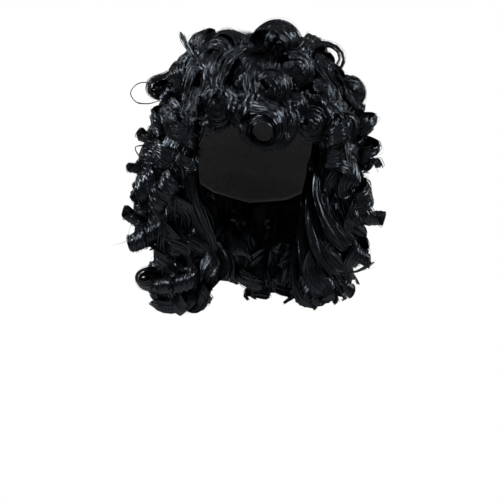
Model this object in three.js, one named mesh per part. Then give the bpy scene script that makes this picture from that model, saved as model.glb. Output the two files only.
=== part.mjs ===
// A shoulder-length curly wig: a thin knitted cap that sits on the head, and the curls sewn to it in
// overlapping rows. Each curl is the closed outer form of one bundle of ringlets: a flat stem that lies on
// the cap under the row above, and a barrel that swells out below it.
//
// Millimetres. +Z is up, -Y is the side of the face, +X is to the right of someone facing the wearer.
// The origin is the highest point inside the cap, where the top of the head touches it.
import * as THREE from "three";

// ---------------------------------------------------------------- sizes
const HEAD_HALF_WIDTH = 76; // inside of the cap, at its widest level: 152 wide, 191 long, 54 cm round
const HEAD_HALF_LENGTH = 95.5;
const EQUATOR = 95; // depth of the widest level below the top of the head
const CAP_WALL = 2;
const CAP_COLUMNS = 36;
const CAP_ROWS = 9;
const CURL_SIDES = 8;
const GAP = 0.8; // clear space that a curl keeps to each side of its sector
const GROOVE = 0.13; // depth of the spiral groove round a barrel, as a share of its radius
const GROOVE_TURN = 62; // degrees that the groove turns from one station to the next
const DRAWN_CURLS = 4; // curls of the lower row that share the turn towards the face
const FULLNESS = 0.2; // how much the outer shoulders of a barrel fill out its sector

const HAIR = { color: 0x0b0b0e, roughness: 0.38, metalness: 0 };
const NET = { color: 0x17161a, roughness: 0.85, metalness: 0 };

// Lower edge of the cap, from the middle of the forehead (0 degrees) round to the nape (180).
const HEM = [
  { azimuth: 0, z: -48 },
  { azimuth: 30, z: -56 },
  { azimuth: 55, z: -84 },
  { azimuth: 75, z: -108 },
  { azimuth: 95, z: -118 },
  { azimuth: 120, z: -128 },
  { azimuth: 150, z: -145 },
  { azimuth: 180, z: -152 },
];

// Space kept free for the neck and jaw below the widest level of the head.
const NECK = [
  { z: -95, half_width: 76, front: 95.5, back: 95.5 },
  { z: -125, half_width: 74, front: 88, back: 92 },
  { z: -155, half_width: 69, front: 74, back: 80 },
  { z: -185, half_width: 64, front: 66, back: 69 },
  { z: -300, half_width: 62, front: 64, back: 66 },
];

// The rows of curls. A row runs from one azimuth to another in equal sectors. down is the place along the
// line from the top of the head downwards: degrees of arc to 90 at the widest level, and then millimetres
// below it. inner and outer are the distances of the curl's two faces from the head, and share is its
// width as a share of its sector. The last curls of the lower row draw in under the jaw: drawn_in is the turn
// towards the face, in degrees, of the very last one at that station.
const ROWS = [
  {
    name: "crown_curl",
    count: 8,
    from: -22.5,
    to: 337.5,
    ruffle: 3,
    profile: [
      { down: 7, inner: 4.0, outer: 40, share: 0.6 },
      { down: 13, inner: 3.6, outer: 49, share: 0.95 },
      { down: 20, inner: 3.4, outer: 50, share: 1.0 },
      { down: 27, inner: 3.4, outer: 48, share: 0.95 },
      { down: 34, inner: 13.5, outer: 50, share: 1.0 },
      { down: 40, inner: 13.5, outer: 48, share: 0.94 },
      { down: 46, inner: 14.5, outer: 48, share: 0.92 },
      { down: 51, inner: 18.0, outer: 42, share: 0.6 },
    ],
  },
  {
    name: "fringe_curl",
    count: 5,
    from: -51,
    to: 51,
    ruffle: 3,
    profile: [
      { down: 31, inner: 3.4, outer: 8, share: 0.4 },
      { down: 37, inner: 3.4, outer: 11, share: 0.8 },
      { down: 46, inner: 3.4, outer: 11, share: 0.9 },
      { down: 54, inner: 3.4, outer: 12, share: 0.95 },
      { down: 60, inner: 3.4, outer: 36, share: 1.0 },
      { down: 66, inner: 4.0, outer: 40, share: 1.0 },
      { down: 73, inner: 4.0, outer: 40, share: 0.95 },
      { down: 80, inner: 5.0, outer: 38, share: 0.9 },
      { down: 87, inner: 10.0, outer: 30, share: 0.55 },
    ],
  },
  {
    name: "upper_curl",
    count: 12,
    from: 52,
    to: 308,
    ruffle: 4,
    profile: [
      { down: 33, inner: 3.4, outer: 8, share: 0.4 },
      { down: 40, inner: 3.4, outer: 11, share: 0.85 },
      { down: 54, inner: 3.4, outer: 11, share: 0.9 },
      { down: 60, inner: 3.4, outer: 45, share: 0.95 },
      { down: 67, inner: 3.4, outer: 52, share: 1.0 },
      { down: 74, inner: 3.6, outer: 53, share: 0.95 },
      { down: 81, inner: 13.5, outer: 56, share: 1.0 },
      { down: 88, inner: 14.0, outer: 57, share: 0.94 },
      { down: 96, inner: 15.0, outer: 58, share: 1.0 },
      { down: 104, inner: 22.0, outer: 52, share: 0.6 },
    ],
  },
  {
    name: "middle_curl",
    count: 12,
    from: 42,
    to: 318,
    ruffle: 5,
    profile: [
      { down: 78, inner: 3.4, outer: 8, share: 0.4 },
      { down: 88, inner: 3.4, outer: 11, share: 0.85 },
      { down: 111, inner: 3.4, outer: 12, share: 0.9 },
      { down: 121, inner: 8.0, outer: 56, share: 0.95 },
      { down: 133, inner: 33.0, outer: 67, share: 1.0 },
      { down: 148, inner: 36.0, outer: 70, share: 0.95 },
      { down: 163, inner: 38.0, outer: 75, share: 1.0 },
      { down: 179, inner: 40.0, outer: 73, share: 0.94 },
      { down: 195, inner: 42.0, outer: 74, share: 0.98 },
      { down: 210, inner: 48.0, outer: 67, share: 0.6 },
    ],
  },
  {
    name: "lower_curl",
    count: 12,
    from: 42,
    to: 318,
    ruffle: 6,
    profile: [
      { down: 125, inner: 3.2, outer: 8, share: 0.5 },
      { down: 134, inner: 2.4, outer: 26, share: 0.9 },
      { down: 148, inner: 2.0, outer: 31, share: 1.0 },
      { down: 163, inner: 2.0, outer: 32, share: 0.95 },
      { down: 179, inner: 2.0, outer: 34, share: 1.0, drawn_in: 4 },
      { down: 197, inner: 2.0, outer: 36, share: 0.95, drawn_in: 12 },
      { down: 217, inner: 2.0, outer: 40, share: 1.0, drawn_in: 20 },
      { down: 229, inner: 2.0, outer: 54, share: 0.98, drawn_in: 24 },
      { down: 244, inner: 3.0, outer: 57, share: 0.95, drawn_in: 26 },
      { down: 260, inner: 4.0, outer: 50, share: 0.9, drawn_in: 26 },
      { down: 275, inner: 10.0, outer: 34, share: 0.5, drawn_in: 24 },
    ],
  },
];

// ---------------------------------------------------------------- shape of the head and of what hangs below it
const radians = (degrees) => (degrees * Math.PI) / 180;
const mix = (a, b, t) => a + (b - a) * t;

// A column of a table, read between its rows with an eased step.
function read(table, key, at, column) {
  const rising = table[table.length - 1][key] > table[0][key];
  for (let i = 1; i < table.length; i++) {
    const a = table[i - 1];
    const b = table[i];
    if (rising ? at <= b[key] : at >= b[key]) {
      const t = Math.min(1, Math.max(0, (at - a[key]) / (b[key] - a[key])));
      return mix(a[column], b[column], t);
    }
  }
  return table[table.length - 1][column];
}

// Azimuth folded to 0..180, the same on both sides of the head.
const folded = (azimuth) => Math.abs(((((azimuth + 180) % 360) + 360) % 360) - 180);
const hemOf = (azimuth) => {
  const z = read(HEM, "azimuth", folded(azimuth), "z");
  return z > -EQUATOR ? THREE.MathUtils.radToDeg(Math.acos((EQUATOR + z) / EQUATOR)) : 90 - EQUATOR - z;
};

// Distance of the head or neck from the vertical axis, at an azimuth and a height.
function spread(azimuth, halfWidth, halfLength) {
  const across = Math.sin(radians(azimuth)) / halfWidth;
  const along = Math.cos(radians(azimuth)) / halfLength;
  return 1 / Math.hypot(across, along);
}

// Point at a distance from the head, at an azimuth and a place down the line from its top.
// Returns the height, the distance from the vertical axis and the direction in which the hair stands off.
function onHead(azimuth, down) {
  if (down <= 90) {
    const reach = spread(azimuth, HEAD_HALF_WIDTH, HEAD_HALF_LENGTH);
    const up = new THREE.Vector2(Math.sin(radians(down)) / reach, Math.cos(radians(down)) / EQUATOR).normalize();
    return { r: reach * Math.sin(radians(down)), z: EQUATOR * (Math.cos(radians(down)) - 1), out: up.x, up: up.y };
  }
  const z = -EQUATOR - (down - 90);
  const end = Math.cos(radians(azimuth)) > 0 ? "front" : "back";
  const r = spread(azimuth, read(NECK, "z", z, "half_width"), read(NECK, "z", z, end));
  return { r, z, out: 1, up: 0 };
}

// ---------------------------------------------------------------- closed surfaces
function closed(positions, triangles) {
  const geometry = new THREE.BufferGeometry();
  geometry.setAttribute("position", new THREE.Float32BufferAttribute(positions, 3));
  geometry.setIndex(triangles);
  geometry.computeVertexNormals();
  return geometry;
}

// A dome of one wall: the inner and outer faces meet at the top as points and at the hem as a rim.
function capGeometry() {
  const positions = [];
  const triangles = [];
  const layer = (offset) => {
    const start = positions.length / 3;
    positions.push(0, 0, offset);
    for (let row = 1; row <= CAP_ROWS; row++)
      for (let column = 0; column < CAP_COLUMNS; column++) {
        const azimuth = (360 * column) / CAP_COLUMNS;
        const p = onHead(azimuth, (hemOf(azimuth) * row) / CAP_ROWS);
        const r = p.r + offset * p.out;
        positions.push(r * Math.sin(radians(azimuth)), -r * Math.cos(radians(azimuth)), p.z + offset * p.up);
      }
    return start;
  };
  const inner = layer(0);
  const outer = layer(CAP_WALL);
  const at = (start, row, column) =>
    row === 0 ? start : start + 1 + (row - 1) * CAP_COLUMNS + (column % CAP_COLUMNS);
  for (let column = 0; column < CAP_COLUMNS; column++) {
    for (let row = 0; row < CAP_ROWS; row++) {
      const [a, b, c, d] = [at(outer, row, column), at(outer, row + 1, column), at(outer, row + 1, column + 1), at(outer, row, column + 1)];
      triangles.push(a, b, c);
      if (row) triangles.push(a, c, d);
      const [e, f, g, h] = [at(inner, row, column), at(inner, row + 1, column), at(inner, row + 1, column + 1), at(inner, row, column + 1)];
      triangles.push(e, g, f);
      if (row) triangles.push(e, h, g);
    }
    const [a, b] = [at(outer, CAP_ROWS, column), at(outer, CAP_ROWS, column + 1)];
    const [e, f] = [at(inner, CAP_ROWS, column), at(inner, CAP_ROWS, column + 1)];
    triangles.push(a, e, f, a, f, b);
  }
  return closed(positions, triangles);
}

// One curl: rounded sections threaded on the line down the head, each kept inside its own sector.
function curlGeometry(row, index) {
  const half = (row.to - row.from) / row.count / 2;
  const last = row.profile.length - 1;
  const follows = Math.max(0, 1 - (row.count - 1 - index) / DRAWN_CURLS);
  const sections = row.profile.map((station, k) => {
    const azimuth = row.from + half * (2 * index + 1) + follows * (station.drawn_in ?? 0);
    const direction = new THREE.Vector3(Math.sin(radians(azimuth)), -Math.cos(radians(azimuth)), 0);
    const aside = new THREE.Vector3(Math.cos(radians(azimuth)), Math.sin(radians(azimuth)), 0);
    // neighbours differ a little in how far they stand off and hang down
    const swell = row.ruffle * Math.sin(2.4 * index + 1.3 * k) * (k > 2 ? 0.5 : 0);
    const down = station.down + (k >= last - 1 ? row.ruffle * Math.cos(1.9 * index) : 0);
    const p = onHead(azimuth, down);
    const outer = Math.max(station.outer + swell, station.inner + 3);
    const thick = (outer - station.inner) / 2;
    const stand = station.inner + thick;
    const middle = p.r + stand * p.out;
    const room = Math.sqrt((middle - GAP / Math.sin(radians(half))) ** 2 - (thick * p.out) ** 2);
    const wide = station.share * Math.min(Math.tan(radians(half)) * room, 1.25 * thick + 8);
    const centre = direction.clone().multiplyScalar(middle).setZ(p.z + stand * p.up);
    const off = direction.clone().multiplyScalar(p.out).setZ(p.up);
    return Array.from({ length: CURL_SIDES }, (_, side) => {
      const turn = (360 * side) / CURL_SIDES;
      const barrel = thick > 6 ? GROOVE : 0;
      const groove = barrel * (0.5 + 0.5 * Math.cos(radians(2 * (turn - GROOVE_TURN * k + 40 * index))));
      const shoulder = Math.cos(radians(turn)) > 0.1 ? FULLNESS * Math.abs(Math.sin(radians(2 * turn))) : 0;
      const lobe = 1 - groove + shoulder;
      return centre
        .clone()
        .addScaledVector(off, thick * lobe * Math.cos(radians(turn)))
        .addScaledVector(aside, wide * lobe * Math.sin(radians(turn)));
    });
  });
  const positions = [];
  const triangles = [];
  sections.forEach((ring) => ring.forEach((p) => positions.push(p.x, p.y, p.z)));
  const at = (k, side) => k * CURL_SIDES + (side % CURL_SIDES);
  for (let k = 0; k < last; k++)
    for (let side = 0; side < CURL_SIDES; side++) {
      const [a, b, c, d] = [at(k, side), at(k + 1, side), at(k + 1, side + 1), at(k, side + 1)];
      triangles.push(a, b, c, a, c, d);
    }
  // ends: a fan to the middle of the first and last sections, drawn out to a blunt point
  [0, last].forEach((k) => {
    const middle = sections[k].reduce((sum, p) => sum.add(p), new THREE.Vector3()).divideScalar(CURL_SIDES);
    const index = positions.length / 3;
    positions.push(middle.x, middle.y, middle.z);
    for (let side = 0; side < CURL_SIDES; side++)
      if (k === 0) triangles.push(index, at(k, side), at(k, side + 1));
      else triangles.push(index, at(k, side + 1), at(k, side));
  });
  return closed(positions, triangles);
}

// ---------------------------------------------------------------- assembly
const wig = new THREE.Group();
wig.name = "curly_wig";

const cap = new THREE.Mesh(capGeometry(), new THREE.MeshStandardMaterial(NET));
cap.name = "wig_cap";
wig.add(cap);

for (const row of ROWS) {
  const curls = new THREE.Group();
  curls.name = row.name + "s";
  for (let index = 0; index < row.count; index++) {
    const curl = new THREE.Mesh(curlGeometry(row, index), new THREE.MeshStandardMaterial(HAIR));
    curl.name = row.name + "_" + String(index + 1).padStart(2, "0");
    curls.add(curl);
  }
  wig.add(curls);
}

export default wig;
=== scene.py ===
"""A shoulder-length curly wig: ringlets of glossy black hair on a knitted cap.

Metres. +Z is up, -Y is the side of the face, and the origin is the highest point inside the cap.
"""

import math

import bpy
import numpy as np
from mathutils import Matrix, Vector


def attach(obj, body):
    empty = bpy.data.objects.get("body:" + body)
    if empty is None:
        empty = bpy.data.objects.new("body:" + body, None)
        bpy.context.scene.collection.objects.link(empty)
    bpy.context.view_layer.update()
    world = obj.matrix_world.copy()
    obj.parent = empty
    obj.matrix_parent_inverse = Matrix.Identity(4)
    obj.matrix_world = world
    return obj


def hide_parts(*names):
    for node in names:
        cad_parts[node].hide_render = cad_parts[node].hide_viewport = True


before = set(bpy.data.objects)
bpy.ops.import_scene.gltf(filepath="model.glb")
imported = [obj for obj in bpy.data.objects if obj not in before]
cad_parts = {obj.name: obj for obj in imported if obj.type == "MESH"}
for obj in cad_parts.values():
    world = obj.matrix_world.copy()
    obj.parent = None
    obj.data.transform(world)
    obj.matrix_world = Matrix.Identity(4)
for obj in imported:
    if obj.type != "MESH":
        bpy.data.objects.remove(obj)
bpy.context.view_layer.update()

MM = 0.001

# ---------------------------------------------------------------- the head's form, as the cap and the curls follow it
HALF_WIDTH, HALF_LENGTH, EQUATOR = 0.076, 0.0955, 0.095
# depth below the top, half width, front and back reach of the space for the jaw and neck
NECK = np.array(
    [
        (0.095, 0.076, 0.0955, 0.0955),
        (0.125, 0.074, 0.088, 0.092),
        (0.155, 0.069, 0.074, 0.080),
        (0.185, 0.064, 0.066, 0.069),
        (0.300, 0.062, 0.064, 0.066),
    ]
)
# azimuth and height of the cap's lower edge, from the forehead to the nape
HEM = np.array([(0, -48), (30, -56), (55, -84), (75, -108), (95, -118), (120, -128), (150, -145), (180, -152)], float)


def unit(v):
    return v / np.maximum(np.linalg.norm(v, axis=-1, keepdims=True), 1e-12)


def smooth(x):
    x = np.clip(x, 0.0, 1.0)
    return x * x * (3 - 2 * x)


def on_head(azimuth, down):
    """Point and outward direction: down is degrees of arc from the top to 90, then millimetres below the widest level."""
    az = np.radians(np.asarray(azimuth, float))
    down = np.asarray(down, float) + 0 * az
    az = az + 0 * down
    across, along = np.sin(az), -np.cos(az)
    arc = np.radians(np.minimum(down, 90))
    reach = 1 / np.hypot(np.sin(az) / HALF_WIDTH, np.cos(az) / HALF_LENGTH)
    out, up = np.sin(arc) / reach, np.cos(arc) / EQUATOR
    out, up = out / np.hypot(out, up), up / np.hypot(out, up)
    depth = EQUATOR + np.maximum(down - 90, 0) * MM
    width = np.interp(depth, NECK[:, 0], NECK[:, 1])
    length = np.where(np.cos(az) > 0, np.interp(depth, NECK[:, 0], NECK[:, 2]), np.interp(depth, NECK[:, 0], NECK[:, 3]))
    below = down > 90
    r = np.where(below, 1 / np.hypot(np.sin(az) / width, np.cos(az) / length), reach * np.sin(arc))
    z = np.where(below, -depth, EQUATOR * (np.cos(arc) - 1))
    out, up = np.where(below, 1.0, out), np.where(below, 0.0, up)
    return np.stack([r * across, r * along, z], -1), np.stack([out * across, out * along, up], -1)


def stand_off(azimuth, down, height):
    """Point at a height in millimetres over the head."""
    point, normal = on_head(azimuth, down)
    return point + normal * (np.asarray(height, float) * MM)[..., None]


def hem_down(azimuth):
    folded = np.abs((np.asarray(azimuth, float) + 180) % 360 - 180)
    z = np.interp(folded, HEM[:, 0], HEM[:, 1]) * MM
    return np.where(z > -EQUATOR, np.degrees(np.arccos(np.clip((EQUATOR + z) / EQUATOR, -1, 1))), 90 + (-EQUATOR - z) / MM)


def off_the_head(p, gap=2.5 * MM):
    """The points, with those lower than the gap over the head moved out to it, so that no hair comes through the cap."""
    middle = np.array([0.0, 0.0, -EQUATOR])
    above = p[:, 2] > -EQUATOR
    share = np.linalg.norm((p - middle) / (np.array([HALF_WIDTH, HALF_LENGTH, EQUATOR]) + gap), axis=1)
    p = np.where((above & (share < 1))[:, None], middle + (p - middle) / np.maximum(share, 0.3)[:, None], p)
    width = np.interp(-p[:, 2], NECK[:, 0], NECK[:, 1]) + gap
    length = np.where(p[:, 1] < 0, np.interp(-p[:, 2], NECK[:, 0], NECK[:, 2]), np.interp(-p[:, 2], NECK[:, 0], NECK[:, 3])) + gap
    share = np.hypot(p[:, 0] / width, p[:, 1] / length)
    low = ~above & (share < 1)
    p[low, :2] /= np.maximum(share[low], 0.3)[:, None]
    return p


# ---------------------------------------------------------------- the picture's frame, for curls placed one by one
ROLL = math.radians(5.8)
SCALE = 1.08 * MM  # metres for each pixel at the head's middle
TOP_PX = (263.5, 59.8)
CAMERA = np.array([0.0063, -2.0, -0.2058])


def seen_at(px, py, y):
    """Point at a depth y that the camera sees at a pixel of a 500 by 500 picture."""
    x = SCALE * ((px - TOP_PX[0]) * math.cos(ROLL) + (py - TOP_PX[1]) * math.sin(ROLL))
    z = SCALE * ((px - TOP_PX[0]) * math.sin(ROLL) - (py - TOP_PX[1]) * math.cos(ROLL))
    near = (y - CAMERA[1]) / -CAMERA[1]
    return np.array([CAMERA[0] + (x - CAMERA[0]) * near, y, CAMERA[2] + (z - CAMERA[2]) * near])


# ---------------------------------------------------------------- curves
def curve_through(points, count):
    """Evenly spaced points on a smooth curve through a few points, and its length."""
    p = np.asarray(points, float)
    ends = np.vstack([2 * p[0] - p[1], p, 2 * p[-1] - p[-2]])
    t = np.linspace(0, 1, 20, endpoint=False)[:, None]
    parts = []
    for i in range(1, len(ends) - 2):
        a, b, c, d = ends[i - 1 : i + 3]
        parts.append(0.5 * (2 * b + (c - a) * t + (2 * a - 5 * b + 4 * c - d) * t**2 + (3 * b - a - 3 * c + d) * t**3))
    q = np.vstack(parts + [p[-1:]])
    s = np.concatenate([[0], np.cumsum(np.linalg.norm(np.diff(q, axis=0), axis=1))])
    at = np.linspace(0, s[-1], count)
    return np.stack([np.interp(at, s, q[:, k]) for k in range(3)], 1), s[-1]


def carried(path, start):
    """Direction of a path, and a normal carried along it without twist."""
    t = unit(np.gradient(path, axis=0))
    n = np.empty_like(path)
    v = np.asarray(start, float)
    for i in range(len(path)):
        v = v - t[i] * (v @ t[i])
        v = v / max(math.sqrt(v @ v), 1e-9)
        n[i] = v
    return t, n, np.cross(t, n)


def arc_length(line):
    return np.concatenate([[0], np.cumsum(np.linalg.norm(np.diff(line, axis=0), axis=1))])


def wander(rng, k, x, waves):
    """k smooth random lines of about unit size over the places x."""
    total = 0.0
    for h in range(3):
        rate = waves * (0.6 + 0.5 * h) * rng.uniform(0.8, 1.2, (k, 1))
        total = total + (1, 0.6, 0.4)[h] * rng.uniform(0.6, 1.2, (k, 1)) * np.sin(2 * np.pi * (rate * x + rng.random((k, 1))))
    return total / 1.3


FINE = 200
STEPS_A_TURN = 12


# ---------------------------------------------------------------- meshes from arrays
class Locks:
    """Closed thin locks joined in one mesh, with two maps: Strand in centimetres across and along the hair, and OFBake,
    which lays every lock out as a strip of its own."""

    def __init__(self):
        self.points, self.quads, self.tris, self.lines = [], [], [], []
        self.maps = {"Strand": ([], []), "OFBake": ([], [])}
        self.total, self.columns = 0, 0.0

    def loft(self, rings, across, along, width, root, tip, edges=()):
        """rings: k locks of n sections of m points. across: m + 1 places round a section. along: n places. width: the share
        of the OFBake map that each takes. edges: the points of a section that run along a sharp edge. The ends close in a
        point."""
        k, n, m, _ = rings.shape
        size = n * m + 2
        line = np.full(size, -1)
        for j in edges:
            line[j : n * m : m] = j
        self.lines.append(np.tile(line, k))
        base = self.total + size * np.arange(k)[:, None, None]
        self.points.append(np.concatenate([rings.reshape(k, n * m, 3), root[:, None], tip[:, None]], 1).reshape(-1, 3))
        self.total += k * size
        i, j = (g.ravel() for g in np.meshgrid(np.arange(n - 1), np.arange(m), indexing="ij"))
        f = (j + 1) % m
        quad = np.stack([i * m + j, i * m + f, (i + 1) * m + f, (i + 1) * m + j], 1)
        self.quads.append((base + quad).reshape(-1, 4))
        e = np.arange(m)
        g = (e + 1) % m
        caps = np.concatenate(
            [np.stack([g, e, np.full(m, n * m)], 1), np.stack([(n - 1) * m + e, (n - 1) * m + g, np.full(m, n * m + 1)], 1)]
        )
        self.tris.append((base + caps).reshape(-1, 3))
        begin, end = 2 * along[:, 0] - along[:, 1], 2 * along[:, -1] - along[:, -2]
        middle = (across[:, :-1] + across[:, 1:]) / 2
        low, high = np.repeat(along[:, :1], m, 1), np.repeat(along[:, -1:], m, 1)
        quad_uv = np.stack(
            [
                np.stack([across[:, j], across[:, j + 1], across[:, j + 1], across[:, j]], -1),
                np.stack([along[:, i], along[:, i], along[:, i + 1], along[:, i + 1]], -1),
            ],
            -1,
        )
        first = np.stack([np.stack([across[:, e + 1], across[:, e], middle], -1), np.stack([low, low, np.repeat(begin[:, None], m, 1)], -1)], -1)
        last = np.stack([np.stack([across[:, e], across[:, e + 1], middle], -1), np.stack([high, high, np.repeat(end[:, None], m, 1)], -1)], -1)
        cap_uv = np.concatenate([first, last], 1)
        left = self.columns + np.concatenate([[0], np.cumsum(width)[:-1]])
        self.columns += float(np.sum(width))
        span = across[:, -1] - across[:, 0]

        def strip(uv):
            lay = (slice(None), None, None)
            u = left[lay] + width[lay] * (0.04 + 0.92 * (uv[..., 0] - across[:, 0][lay]) / span[lay])
            return np.stack([u, (uv[..., 1] - begin[lay]) / (end - begin)[lay]], -1)

        for title, uv_q, uv_t in (("Strand", quad_uv, cap_uv), ("OFBake", strip(quad_uv), strip(cap_uv))):
            self.maps[title][0].append(uv_q.reshape(-1, 2))
            self.maps[title][1].append(uv_t.reshape(-1, 2))

    def triangles(self):
        return 2 * sum(len(q) for q in self.quads) + sum(len(t) for t in self.tris)

    def build(self, name, material, clear=False):
        points, quads, tris = np.vstack(self.points), np.vstack(self.quads), np.vstack(self.tris)
        if clear:
            points = off_the_head(points)
        me = bpy.data.meshes.new(name)
        me.vertices.add(len(points))
        me.vertices.foreach_set("co", points.astype(np.float32).ravel())
        corners = np.concatenate([quads.ravel(), tris.ravel()]).astype(np.int32)
        me.loops.add(len(corners))
        me.loops.foreach_set("vertex_index", corners)
        starts = np.concatenate([np.arange(len(quads)) * 4, 4 * len(quads) + np.arange(len(tris)) * 3]).astype(np.int32)
        me.polygons.add(len(starts))
        me.polygons.foreach_set("loop_start", starts)
        me.update(calc_edges=True)
        me.polygons.foreach_set("use_smooth", np.ones(len(starts), bool))
        pair = np.empty(2 * len(me.edges), np.int32)
        me.edges.foreach_get("vertices", pair)
        line = np.concatenate(self.lines)[pair.reshape(-1, 2)]
        me.edges.foreach_set("use_edge_sharp", (line[:, 0] == line[:, 1]) & (line[:, 0] >= 0))
        for title, (uv_q, uv_t) in self.maps.items():
            layer = me.uv_layers.new(name=title)
            uv = np.concatenate(uv_q + uv_t)
            if title == "OFBake":
                uv = uv * [1 / self.columns, 1]
            layer.data.foreach_set("uv", uv.astype(np.float32).ravel())
        me.uv_layers["Strand"].active = True
        me.uv_layers["Strand"].active_render = True
        me.validate()
        me.materials.append(material)
        ob = bpy.data.objects.new(name, me)
        bpy.context.scene.collection.objects.link(ob)
        return ob


def tubes(locks, rng, centre, out, half, high, ends, twist=0.25):
    """k thin locks, each with a flat underside and a crest. centre and out: k lines of n points and the way their crests
    point. half and high: half width and height of each. ends: share of the width at the root and the tip."""
    k, n, _ = centre.shape
    run = np.concatenate([np.zeros((k, 1)), np.cumsum(np.linalg.norm(np.diff(centre, axis=1), axis=2), 1)], 1)
    x = run / run[:, -1:]
    t = unit(np.gradient(centre, axis=1))
    side = unit(np.cross(t, out))
    face = np.cross(side, t)
    waves = float(np.clip(run[:, -1].mean() / 0.05, 1, 8))
    lean = twist * wander(rng, k, x, waves)[..., None]
    side, face = np.cos(lean) * side + np.sin(lean) * face, np.cos(lean) * face - np.sin(lean) * side
    swell = (ends[0] + (1 - ends[0]) * smooth(x / 0.12)) * (1 - (1 - ends[1]) * smooth((x - 0.82) / 0.18))
    wide = (half[:, None] * swell * (1 + 0.16 * wander(rng, k, x, waves)))[..., None]
    tall = (high[:, None] * np.sqrt(swell) * (1 + 0.16 * wander(rng, k, x, waves)))[..., None]
    rings = np.stack([centre - side * wide, centre + face * tall, centre + side * wide], 2)
    slope = np.hypot(half, high)
    across = (rng.uniform(0, 40, k)[:, None] + np.stack([0 * half, slope, 2 * slope, 2 * slope + 2 * half], 1) * 100)
    along = run * 100 + rng.uniform(0, 200, k)[:, None]
    root = centre[:, 0] - t[:, 0] * 0.4 * MM + face[:, 0] * tall[:, 0] * 0.4
    tip = centre[:, -1] + t[:, -1] * np.minimum(wide[:, -1], 0.8 * MM) + face[:, -1] * tall[:, -1] * 0.4
    locks.loft(rings, across, along, 4 * half / MM, root, tip, edges=(0, 2))


def band(locks, rng, centre, flat, face, x, width, cup, thick, ends):
    """One wide lock with a rounded, uneven upper face. flat and face: the ways across it and off it."""
    n = len(x)
    a = np.array([-1.0, -0.64, -0.22, 0.22, 0.64, 1.0, 0.5, 0.0, -0.5])
    swell = (ends[0] + (1 - ends[0]) * smooth(x / 0.12)) * (1 - (1 - ends[1]) * smooth((x - 0.84) / 0.16))
    waves = max(1.0, 40.0 * width)
    ridge = np.concatenate([wander(rng, 6, x, waves) * 0.45 * MM, np.zeros((3, n))]).T
    drop = np.where(np.arange(9) > 5, thick, 0.0) + cup * width / 2 * a * a
    wide = (width / 2 * swell * (1 + 0.07 * wander(rng, 1, x, waves)[0]))[:, None, None]
    high = ((ridge - drop) * np.sqrt(swell)[:, None])[..., None]
    rings = centre[:, None] + flat[:, None] * (a[None, :, None] * wide) + face[:, None] * high
    section = np.concatenate([[0], np.cumsum(np.linalg.norm(np.roll(rings[n // 2], -1, 0) - rings[n // 2], axis=1))])
    run = arc_length(centre)
    t = unit(np.gradient(centre, axis=0))
    root = centre[0] - t[0] * 0.5 * MM
    tip = centre[-1] + t[-1] * 0.16 * width * ends[1]
    locks.loft(rings[None], rng.uniform(0, 40) + section[None] * 100, rng.uniform(0, 200) + run[None] * 100, np.array([2 * width / MM]), root[None], tip[None], edges=(0, 5))


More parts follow.
